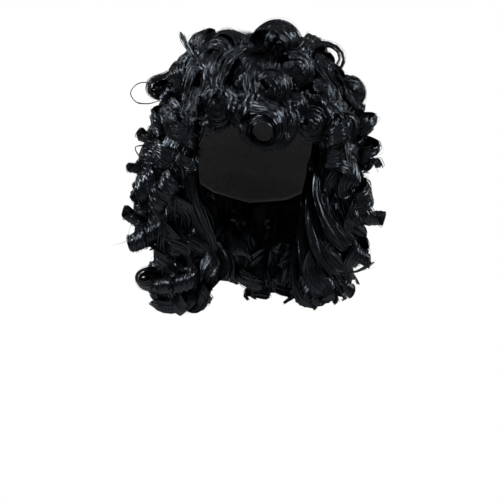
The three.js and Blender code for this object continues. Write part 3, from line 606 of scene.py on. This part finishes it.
# fine hairs spread between two lines of places
VEILS = [
    dict(node="crown_curl_08", first=[(246, 44, -62), (232, 48, -72), (220, 58, -84), (213, 72, -92), (212, 88, -98)], last=[(250, 48, -64), (240, 54, -76), (232, 66, -86), (224, 80, -96), (220, 94, -100)], count=16),
    dict(node="crown_curl_08", first=[(250, 36, -20), (228, 36, -34), (208, 42, -46), (192, 54, -56), (182, 70, -62), (176, 88, -64)], last=[(252, 44, -40), (232, 46, -54), (214, 54, -66), (202, 66, -74), (194, 82, -78), (190, 98, -80)], count=22),
    dict(node="crown_curl_07", first=[(252, 32, 6), (232, 31, -4), (212, 33, -12), (196, 42, -22), (184, 56, -30), (176, 74, -36)], last=[(250, 38, -14), (226, 38, -26), (206, 45, -38), (192, 58, -48), (182, 76, -54), (174, 92, -56)], count=18),
    dict(node="upper_curl_12", first=[(190, 84, -84), (182, 98, -90), (174, 114, -92), (168, 132, -90), (166, 150, -86)], last=[(204, 92, -92), (200, 108, -96), (194, 126, -96), (188, 144, -92), (186, 160, -88)], count=16, wave=3),
    dict(node="upper_curl_12", first=[(170, 96, -80), (178, 108, -90), (188, 118, -96), (198, 126, -98)], last=[(164, 114, -78), (172, 128, -88), (182, 140, -94), (192, 150, -94)], count=14),
    dict(node="crown_curl_01", first=[(262, 44, -44), (252, 54, -62), (246, 68, -78), (244, 84, -90), (250, 98, -98)], last=[(284, 46, -46), (278, 58, -68), (270, 68, -88), (262, 80, -100), (258, 94, -106)], count=18),
    dict(node="crown_curl_02", first=[(292, 46, -40), (304, 54, -54), (316, 68, -66), (326, 84, -78), (330, 100, -84)], last=[(306, 44, -24), (320, 52, -36), (334, 66, -46), (344, 84, -52), (348, 102, -56)], count=18),
    dict(node="upper_curl_01", first=[(322, 96, -84), (332, 110, -90), (338, 126, -92), (340, 146, -88), (336, 164, -82)], last=[(338, 96, -68), (348, 112, -76), (356, 130, -76), (358, 150, -72), (354, 168, -68)], count=12, wave=4),
    dict(node="upper_curl_01", first=[(352, 104, -66), (344, 118, -80), (334, 132, -88), (326, 144, -86)], last=[(358, 124, -62), (350, 138, -76), (340, 152, -84), (330, 162, -82)], count=12),
    dict(node="middle_curl_12", first=[(196, 150, -70), (190, 176, -72), (194, 204, -70), (204, 230, -68), (212, 250, -68)], last=[(176, 150, -74), (168, 178, -78), (170, 206, -76), (178, 232, -74), (186, 254, -72)], count=14, wave=5),
    dict(node="lower_curl_12", first=[(206, 236, -68), (214, 256, -72), (214, 276, -70), (204, 294, -62), (188, 306, -54)], last=[(182, 230, -72), (190, 254, -74), (190, 276, -72), (180, 292, -64), (164, 300, -54)], count=14, wave=5),
    dict(node="lower_curl_12", first=[(168, 196, -72), (164, 220, -74), (168, 244, -74), (174, 266, -72), (172, 288, -64)], last=[(156, 196, -60), (152, 220, -62), (156, 244, -62), (160, 266, -60), (156, 288, -54)], count=10, wave=5),
    dict(node="middle_curl_01", first=[(324, 160, -74), (322, 186, -74), (326, 212, -74), (340, 232, -70), (354, 242, -62)], last=[(344, 160, -74), (346, 184, -76), (350, 206, -74), (358, 222, -66), (366, 232, -56)], count=22),
    dict(node="lower_curl_01", first=[(312, 200, -66), (305, 230, -68), (303, 260, -68), (308, 286, -62), (318, 304, -52)], last=[(330, 200, -72), (326, 228, -74), (330, 254, -72), (340, 274, -64), (350, 288, -52)], count=24),
]
LOW_CROWN = {"crown_curl_02": 5, "crown_curl_03": 3, "crown_curl_06": 4, "crown_curl_07": 6, "crown_curl_08": 7}  # millimetres that these lie lower
FRONT_CROWN = {"crown_curl_01": (0, 2), "crown_curl_02": (0, 2, 3, 5), "crown_curl_08": (0, 1, 2, 3, 4)}


def sector(row, index):
    half = (row[3] - row[2]) / row[1] / 2
    return row[2] + half * (2 * index + 1), half


def side_of(azimuth):
    """The curls on the two sides of the head wind in opposite ways, away from the face."""
    return 1 if math.sin(math.radians(azimuth)) >= 0 else -1


def places(table):
    return [seen_at(px, py, y * MM) for px, py, y in table]


def cover(locks, rng, azimuth, half, downs, heights, count=13, n=9, sway=0.0):
    """Flat hair over the cap of a sector, from its sewn row to where the curls leave it."""
    az = azimuth + half * (np.linspace(-1, 1, count) + rng.uniform(-0.5, 0.5, count) / count)
    d = np.repeat(np.linspace(downs[0], downs[1], n)[None], count, 0)
    h = np.interp(np.linspace(0, 1, n), np.linspace(0, 1, len(heights)), heights) + rng.uniform(-0.8, 0.8, (count, 1))
    az = np.repeat(az[:, None], n, 1) + half * (0.05 * wander(rng, count, np.linspace(0, 1, n), 1.0) + sway * wander(rng, 1, np.linspace(0, 1, n), 1.6))
    c = stand_off(az, d, h)
    _, normal = on_head(az, d)
    wide = np.linalg.norm(c[:, n // 2, :2], axis=1) * math.radians(2 * half) / count
    tubes(locks, rng, c, normal, wide * rng.uniform(0.78, 1.08, count), wide * rng.uniform(0.3, 0.5, count), (0.35, 0.8))


def rolled(locks, rng, azimuth, down, height, turn, length, radius, width, hand, pitch=42, **more):
    """A curl that rises off the head and winds round a short axis lying over it."""
    p, normal = on_head(azimuth, down)
    aside = np.array([math.cos(math.radians(azimuth)), math.sin(math.radians(azimuth)), 0.0])
    downward = np.cross(aside, normal)
    a = math.radians(turn)
    along = math.cos(a) * downward + math.sin(a) * aside
    c = p + normal * height * MM
    half = length * MM / 2
    root, root_normal = on_head(azimuth - 0.3 * turn / 90 * 30, max(3.0, down - 12))
    path = [
        root + root_normal * 6.5 * MM,
        c - along * half - normal * 0.35 * height * MM,
        c - along * half * 0.3,
        c + along * half * 0.45 + normal * 1 * MM,
        c + along * half + normal * rng.uniform(-2, 5) * MM,
    ]
    stem = np.linalg.norm(path[1] - path[0]) / MM * 0.75
    ringlet(locks, rng, path, root_normal, radius, pitch, hand, stem, width, grow=0.45, tip=rng.uniform(0.75, 1.05), phase=rng.uniform(-0.4, 0.4), **more)


def hanging(locks, rng, azimuth, half, u, line, radius, pitch, width, hand, follows=0.0, jitter=1.0, reach=(-0.1, 0.1), free=0.0, **more):
    """A ringlet that leaves the cap and hangs, its axis given by places down the head and heights over it. free: how far
    it may differ from its neighbours, from 0 to 1."""
    downs = np.array([d for d, _ in line], float)
    heights = np.array([h for _, h in line], float)
    x = np.linspace(0, 1, len(line))
    downs = downs + jitter * rng.uniform(-4, 4) * (0.4 + 0.6 * x) + (downs[-1] - downs[0]) * rng.uniform(*reach) * x**1.5
    heights = heights + jitter * (rng.uniform(-3, 3) * x + rng.uniform(-1.5, 1.5) * smooth(x * 3))
    heights = np.maximum(heights, 3.0) + 5 * (1 - smooth(x / 0.35))
    heights = heights - 15 * smooth((abs(math.sin(math.radians(azimuth))) - 0.72) / 0.20) * smooth(x / 0.4)
    az = azimuth + u * half + jitter * (rng.uniform(-0.12, 0.12) * half + rng.uniform(-0.22, 0.22) * half * x)
    az = az + follows * np.interp(downs, DRAWN_IN[:, 0], DRAWN_IN[:, 1], left=0)
    if free:
        az = az + free * half * smooth(x / 0.3) * (rng.uniform(-0.45, 0.45) * x + 0.35 * wander(rng, 1, x, 0.9)[0])
        more["face"] = 1 - free * rng.uniform(0.05, 0.75)
        more["uneven"] = 1 + 0.9 * free
        more["loose"] = 1 + 0.6 * free
    more.update(gather=0.9, ragged=0.012)
    path = stand_off(az, downs, heights)
    _, normal = on_head(az[0], downs[0])
    stem = np.linalg.norm(np.diff(path[:3], axis=0), axis=1).sum() / MM * 0.62
    ringlet(locks, rng, path, normal, radius * rng.uniform(0.85 - 0.25 * free, 1.12), pitch * rng.uniform(0.9 - 0.1 * free, 1.2 + 0.45 * free), hand, stem,
            width * rng.uniform(0.68 - 0.12 * free, 1.1), tip=rng.uniform(0.85, 1.2), phase=rng.uniform(-0.5 - 2.5 * free, 0.5 + 2.5 * free), **more)


def veil(locks, rng, first, last, count, wave=0.0, stray=1.8, n=26):
    """Fine hairs, each at its own place between two lines. wave: millimetres that they sway together."""
    a, b = curve_through(first, n)[0], curve_through(last, n)[0]
    line = a + (b - a) * rng.random((count, 1, 1))
    out = unit((line - np.array([0.0, 0.01, -0.09])) * [1, 1, 0.35])
    side = unit(np.cross(np.gradient(line, axis=1), out))
    x = np.linspace(0, 1, n)
    aside, off = (stray * MM * wander(rng, count, x, 1.1) for _ in range(2))
    aside = aside + wave * MM * smooth(x / 0.2) * np.sin(2 * np.pi * (rng.uniform(1.5, 1.9) * x + rng.random() + rng.normal(0, 0.10, (count, 1))))
    line = line + side * aside[..., None] + out * (off * 0.6 + rng.uniform(-1.0, 1.0, (count, 1)) * MM)[..., None]
    half = rng.uniform(0.18, 0.36, count) * MM
    tubes(locks, rng, line, out, half, half * 0.9, (0.6, 0.35))


def placed(locks, rng, node):
    """The curls of a node that are placed one by one."""
    middle = np.array([0.0, 0.01, -0.09])
    for item in ROLLS:
        if item["node"] == node:
            more = {k: v for k, v in item.items() if k not in ("node", "lead", "centre")}
            roll(locks, rng, places(item["lead"]), places([item["centre"]])[0], **more)
    for item in DOMES:
        if item["node"] == node:
            more = {k: v for k, v in item.items() if k not in ("node", "lead", "centre")}
            dome(locks, rng, places(item["lead"]), places([item["centre"]])[0], loose=1.5, **more)
    for item in HANGS:
        if item["node"] == node:
            path = np.array(places(item["places"]))
            more = {"gather": 0.8, "ragged": 0.012, **{k: v for k, v in item.items() if k not in ("node", "places")}}
            stem = np.linalg.norm(path[1] - path[0]) / MM * 0.8
            ringlet(locks, rng, path, unit(path[0] - middle), stem=stem, phase=rng.uniform(-0.6, 0.6), uneven=1.0, **more)
    for item in SMOOTH:
        if item["node"] == node:
            line, length = curve_through(places(item["places"]), FINE)
            more = {k: v for k, v in item.items() if k not in ("node", "places")}
            follow(locks, rng, line, unit((line - middle) * [1, 1, 0.35]), max(8, int(length / 0.006)), loose=1.4, **more)
    for item in HAIRS:
        if item["node"] == node:
            line, length = curve_through(places(item["places"]), max(12, int(60 * len(item["places"]) / 7)))
            size = np.array([item["half"] * MM])
            tubes(locks, rng, line[None], unit(line - middle)[None] + 1e-3, size, size, (0.8, 0.5))
    for k, item in enumerate(VEILS):
        if item["node"] == node:
            veil(locks, np.random.default_rng([17, k]), places(item["first"]), places(item["last"]), item["count"], item.get("wave", 0.0))


# ---------------------------------------------------------------- finishes
def node_material(name):
    m = bpy.data.materials.new(name)
    m.use_nodes = True
    tree = m.node_tree
    return m, tree, tree.nodes["Principled BSDF"]


def linked(tree, kind, **values):
    node = tree.nodes.new(kind)
    for key, value in values.items():
        if hasattr(node, key):
            setattr(node, key, value)
        else:
            node.inputs[key].default_value = value
    return node


def ramp(tree, stops):
    node = tree.nodes.new("ShaderNodeValToRGB")
    while len(node.color_ramp.elements) < len(stops):
        node.color_ramp.elements.new(0.5)
    for element, (at, colour) in zip(node.color_ramp.elements, stops):
        element.position = at
        element.color = (*colour, 1)
    return node


def spread(tree, value, low, high):
    """Value from about 0.3 to 0.7, spread from low to high."""
    node = linked(tree, "ShaderNodeMapRange")
    for name, number in (("From Min", 0.3), ("From Max", 0.7), ("To Min", low), ("To Max", high)):
        node.inputs[name].default_value = number
    tree.links.new(value, node.inputs["Value"])
    return node.outputs["Result"]


def hair_material():
    """Blue-black fibre: fine streaks along the hair in colour, gloss and relief."""
    m, tree, bsdf = node_material("black_hair")
    link = tree.links.new
    uv = linked(tree, "ShaderNodeUVMap", uv_map="Strand")
    stretch = linked(tree, "ShaderNodeMapping", Scale=(11.0, 0.16, 1.0))
    link(uv.outputs[0], stretch.inputs["Vector"])
    fine = linked(tree, "ShaderNodeTexNoise", noise_dimensions="2D", Scale=1.0, Detail=3.0, Roughness=0.6)
    link(stretch.outputs[0], fine.inputs["Vector"])
    wide = linked(tree, "ShaderNodeMapping", Scale=(2.6, 0.16, 1.0))
    link(uv.outputs[0], wide.inputs["Vector"])
    clump = linked(tree, "ShaderNodeTexNoise", noise_dimensions="2D", Scale=1.0, Detail=2.0, Roughness=0.5)
    link(wide.outputs[0], clump.inputs["Vector"])
    both = linked(tree, "ShaderNodeMath", operation="MULTIPLY")
    link(fine.outputs["Fac"], both.inputs[0])
    link(clump.outputs["Fac"], both.inputs[1])
    colour = ramp(tree, [(0.12, (0.0019, 0.0021, 0.0027)), (0.28, (0.0042, 0.0046, 0.0060)), (0.45, (0.0100, 0.0108, 0.0132))])
    link(both.outputs[0], colour.inputs["Fac"])
    link(colour.outputs["Color"], bsdf.inputs["Base Color"])
    mixed = linked(tree, "ShaderNodeMath", operation="ADD")
    half_fine = linked(tree, "ShaderNodeMath", operation="MULTIPLY")
    half_fine.inputs[1].default_value = 0.5
    half_clump = linked(tree, "ShaderNodeMath", operation="MULTIPLY")
    half_clump.inputs[1].default_value = 0.5
    link(fine.outputs["Fac"], half_fine.inputs[0])
    link(clump.outputs["Fac"], half_clump.inputs[0])
    link(half_fine.outputs[0], mixed.inputs[0])
    link(half_clump.outputs[0], mixed.inputs[1])
    link(spread(tree, mixed.outputs[0], 0.10, 0.23), bsdf.inputs["Roughness"])
    bump = linked(tree, "ShaderNodeBump", Strength=1.0, Distance=0.00024)
    link(fine.outputs["Fac"], bump.inputs["Height"])
    tangent = linked(tree, "ShaderNodeTangent", direction_type="UV_MAP", uv_map="Strand")
    link(tangent.outputs[0], bsdf.inputs["Tangent"])
    # every few hairs lean a little along their run, so that the shine lies at a place of its own on each
    few = linked(tree, "ShaderNodeMapping", Scale=(3.4, 0.22, 1.0), Location=(13.0, 7.0, 0.0))
    link(uv.outputs[0], few.inputs["Vector"])
    lean = linked(tree, "ShaderNodeTexNoise", noise_dimensions="2D", Scale=1.0, Detail=2.0, Roughness=0.6)
    link(few.outputs[0], lean.inputs["Vector"])
    along = linked(tree, "ShaderNodeVectorMath", operation="CROSS_PRODUCT")
    link(bump.outputs[0], along.inputs[0])
    link(tangent.outputs[0], along.inputs[1])
    tilt = linked(tree, "ShaderNodeVectorMath", operation="SCALE")
    link(along.outputs[0], tilt.inputs[0])
    link(spread(tree, lean.outputs["Fac"], -0.20, 0.20), tilt.inputs["Scale"])
    leant = linked(tree, "ShaderNodeVectorMath", operation="ADD")
    link(bump.outputs[0], leant.inputs[0])
    link(tilt.outputs[0], leant.inputs[1])
    level = linked(tree, "ShaderNodeVectorMath", operation="NORMALIZE")
    link(leant.outputs[0], level.inputs[0])
    link(level.outputs[0], bsdf.inputs["Normal"])
    bsdf.inputs["Anisotropic"].default_value = 0.6
    bsdf.inputs["Specular IOR Level"].default_value = 0.5
    bsdf.inputs["Specular Tint"].default_value = (0.72, 0.86, 1.0, 1.0)
    return m


def cap_material():
    """Charcoal knitted net of fine crossed loops."""
    m, tree, bsdf = node_material("knitted_cap")
    link = tree.links.new
    uv = linked(tree, "ShaderNodeUVMap", uv_map="Strand")
    one = linked(tree, "ShaderNodeTexWave", bands_direction="DIAGONAL", Scale=2.3, Distortion=0.4, Detail=1.0)
    flip = linked(tree, "ShaderNodeMapping", Scale=(-1.0, 1.0, 1.0))
    two = linked(tree, "ShaderNodeTexWave", bands_direction="DIAGONAL", Scale=2.3, Distortion=0.4, Detail=1.0)
    link(uv.outputs[0], one.inputs["Vector"])
    link(uv.outputs[0], flip.inputs["Vector"])
    link(flip.outputs[0], two.inputs["Vector"])
    knit = linked(tree, "ShaderNodeMath", operation="MAXIMUM")
    link(one.outputs["Fac"], knit.inputs[0])
    link(two.outputs["Fac"], knit.inputs[1])
    colour = ramp(tree, [(0.35, (0.035, 0.035, 0.037)), (0.95, (0.34, 0.33, 0.34))])
    link(knit.outputs[0], colour.inputs["Fac"])
    link(colour.outputs["Color"], bsdf.inputs["Base Color"])
    bump = linked(tree, "ShaderNodeBump", Strength=0.9, Distance=0.0010)
    link(knit.outputs[0], bump.inputs["Height"])
    link(bump.outputs[0], bsdf.inputs["Normal"])
    bsdf.inputs["Roughness"].default_value = 0.8
    bsdf.inputs["Specular IOR Level"].default_value = 0.3
    bsdf.inputs["Sheen Weight"].default_value = 0.15
    return m


HAIR = hair_material()
NET = cap_material()


# ---------------------------------------------------------------- the cap
def cap_mesh():
    """The cap's wall with its sewn rows as low ribs and its hem as a rolled edge."""
    columns, rows = 96, 56
    az = np.arange(columns) * 360 / columns
    end = hem_down(az)
    share = np.linspace(0.02, 1, rows)
    wall = []
    for outside in (False, True):
        rings = []
        for x in share:
            d = end * x
            arc = np.minimum(d, 90) * math.radians(1) * 95 + np.maximum(d - 90, 0)
            last = np.minimum(end, 90) * math.radians(1) * 95 + np.maximum(end - 90, 0)
            rib = np.cos(2 * np.pi * arc / 13.0)
            rim = smooth((arc - last + 7) / 4)
            if outside:
                h = 1.5 + 0.25 * rib * (1 - rim) + 0.5 * rim
            else:
                h = 0.75 - 0.7 * np.maximum(rib, 0) ** 3 * (1 - rim) - 0.6 * rim
            rings.append(stand_off(az, d, h))
        wall.append(np.array(rings))
    inside, outside = wall
    # one closed surface: down the outside, round the hem, up the inside
    edge = (outside[-1] + inside[-1]) / 2 + np.array([0, 0, -1.0]) * MM
    rings = np.concatenate([outside, edge[None], inside[::-1]])
    locks = Locks()
    across = np.linspace(0, 1, columns + 1) * 48
    run = np.concatenate([[0], np.cumsum(np.linalg.norm(np.diff(rings, axis=0), axis=2).mean(1))]) * 100
    top = np.array([[0, 0, 1.5 * MM]])
    low = np.array([[0, 0, 0.5 * MM]])
    locks.loft(rings[None], across[None], run[None], np.array([100.0]), top, low)
    return locks


cap_locks = cap_mesh()
cap = cap_locks.build("cap", NET)
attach(cap, "root")
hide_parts("wig_cap")

# ---------------------------------------------------------------- the curls
total, largest = cap_locks.triangles(), 0
for number, row in enumerate(ROWS):
    for index in range(row[1]):
        name = f"{row[0]}_{index + 1:02d}"
        rng = np.random.default_rng([11, number, index])
        azimuth, half = sector(row, index)
        hand = side_of(azimuth)
        locks = Locks()
        placed(locks, rng, name)
        if row[0] == "crown_curl":
            cover(locks, rng, azimuth, half, (3, 52), (3.5, 5, 9))
            for k, item in enumerate(CROWN):
                if k not in FRONT_CROWN.get(name, range(len(CROWN))):
                    continue
                rolled(locks, rng, azimuth + item["u"] * half, item["down"] + rng.uniform(-2, 2), item["height"] - LOW_CROWN.get(name, 0) + rng.uniform(-2, 2),
                       item["turn"] + rng.uniform(-20, 20), item["length"], item["radius"] * rng.uniform(0.9, 1.1), item["width"] * rng.uniform(0.85, 1.15),
                       hand if rng.random() > 0.3 else -hand)
        elif row[0] == "fringe_curl":
            cover(locks, rng, azimuth, half, (28, 66), (3.5, 6, 9))
            for item in FRINGE:
                hanging(locks, rng, azimuth, half, item["u"], item["line"], item["radius"], item["pitch"], item["width"], hand if rng.random() > 0.3 else -hand)
        else:
            table = {"upper_curl": UPPER, "middle_curl": MIDDLE, "lower_curl": LOWER}[row[0]]
            down = {"upper_curl": (30, 78), "middle_curl": (72, 112), "lower_curl": (100, 150)}[row[0]]
            cover(locks, rng, azimuth, half, down, (3.5, 6, 9))
            if row[0] == "lower_curl":
                cover(locks, rng, azimuth, half, (140, 238), (7, 10, 14, 18), n=18, sway=0.22)
            follows = max(0.0, 1 - (row[1] - 1 - index) / DRAWN_CURLS) if row[0] == "lower_curl" else 0.0
            for item in () if name in BY_HAND else table:
                hanging(locks, rng, azimuth, half, item["u"], item["line"], item["radius"], item["pitch"], item["width"],
                        hand if rng.random() > 0.2 else -hand, follows, reach=SHORTER.get(name, REACH[row[0]]), free=0.0 if index in (0, 1, 10, 11) else 1.0, face=LOOSE.get(name, 1.0))
        if name in SEAM:
            item = SEAM[name]
            hanging(locks, np.random.default_rng([23, number]), azimuth, half, 1.0, item["line"], item["radius"], item["pitch"], item["width"], hand, reach=(-0.12, -0.02), free=0.8)
        total += locks.triangles()
        largest = max(largest, locks.triangles())
        curl = locks.build(name.replace("curl", "ringlets"), HAIR, clear=True)
        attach(curl, "root")
        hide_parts(name)

# ---------------------------------------------------------------- floor, light and camera
FLOOR_Z = -0.68
bpy.ops.mesh.primitive_circle_add(vertices=96, radius=1.15, fill_type="NGON", location=(0, 0, FLOOR_Z))
floor = bpy.context.object
floor.name = "floor"
pale, pale_tree, pale_bsdf = node_material("pale_floor")
speck = linked(pale_tree, "ShaderNodeTexNoise", Scale=40.0, Detail=2.0)
tone = ramp(pale_tree, [(0.3, (0.40, 0.40, 0.40)), (0.7, (0.44, 0.44, 0.44))])
pale_tree.links.new(speck.outputs["Fac"], tone.inputs["Fac"])
pale_tree.links.new(tone.outputs["Color"], pale_bsdf.inputs["Base Color"])
pale_bsdf.inputs["Roughness"].default_value = 0.7
floor.data.materials.append(pale)

world = bpy.data.worlds.new("studio")
world.use_nodes = True
bpy.context.scene.world = world
sky = world.node_tree.nodes["Background"]
sky.inputs["Color"].default_value = (1, 1, 1, 1)
path = world.node_tree.nodes.new("ShaderNodeLightPath")
level = world.node_tree.nodes.new("ShaderNodeMapRange")
level.inputs["To Min"].default_value = 0.10
level.inputs["To Max"].default_value = 1.0
world.node_tree.links.new(path.outputs["Is Camera Ray"], level.inputs["Value"])
world.node_tree.links.new(level.outputs["Result"], sky.inputs["Strength"])


def softbox(name, place, aim, size, power):
    light = bpy.data.lights.new(name, "AREA")
    light.shape = "RECTANGLE"
    light.size, light.size_y = size
    light.energy = power
    ob = bpy.data.objects.new(name, light)
    ob.location = place
    ob.rotation_euler = (Vector(aim) - Vector(place)).to_track_quat("-Z", "Y").to_euler()
    bpy.context.scene.collection.objects.link(ob)


softbox("key", (-1.75, -0.85, 1.2), (0, 0, -0.12), (0.8, 0.8), 54)
softbox("fill", (1.75, -0.85, 1.3), (0, 0, -0.1), (0.8, 0.8), 46)
softbox("top", (0.1, -0.5, 1.5), (0, 0, 0), (0.7, 0.4), 2)
softbox("rim_left", (-1.5, 0.9, 0.6), (0, 0, -0.1), (0.5, 0.9), 3)
softbox("rim_right", (1.5, 0.9, 0.6), (0, 0, -0.1), (0.5, 0.9), 3)

scene = bpy.context.scene
scene.view_settings.view_transform = "Standard"
scene.view_settings.look = "None"

lens = bpy.data.cameras.new("camera")
lens.angle = 2 * math.atan(0.27 / 2.0)
camera = bpy.data.objects.new("camera", lens)
right, upward = (math.cos(ROLL), 0, math.sin(ROLL)), (-math.sin(ROLL), 0, math.cos(ROLL))
camera.matrix_world = Matrix(
    (
        (right[0], upward[0], 0, CAMERA[0]),
        (right[1], upward[1], -1, CAMERA[1]),
        (right[2], upward[2], 0, CAMERA[2]),
        (0, 0, 0, 1),
    )
)
scene.collection.objects.link(camera)
scene.camera = camera
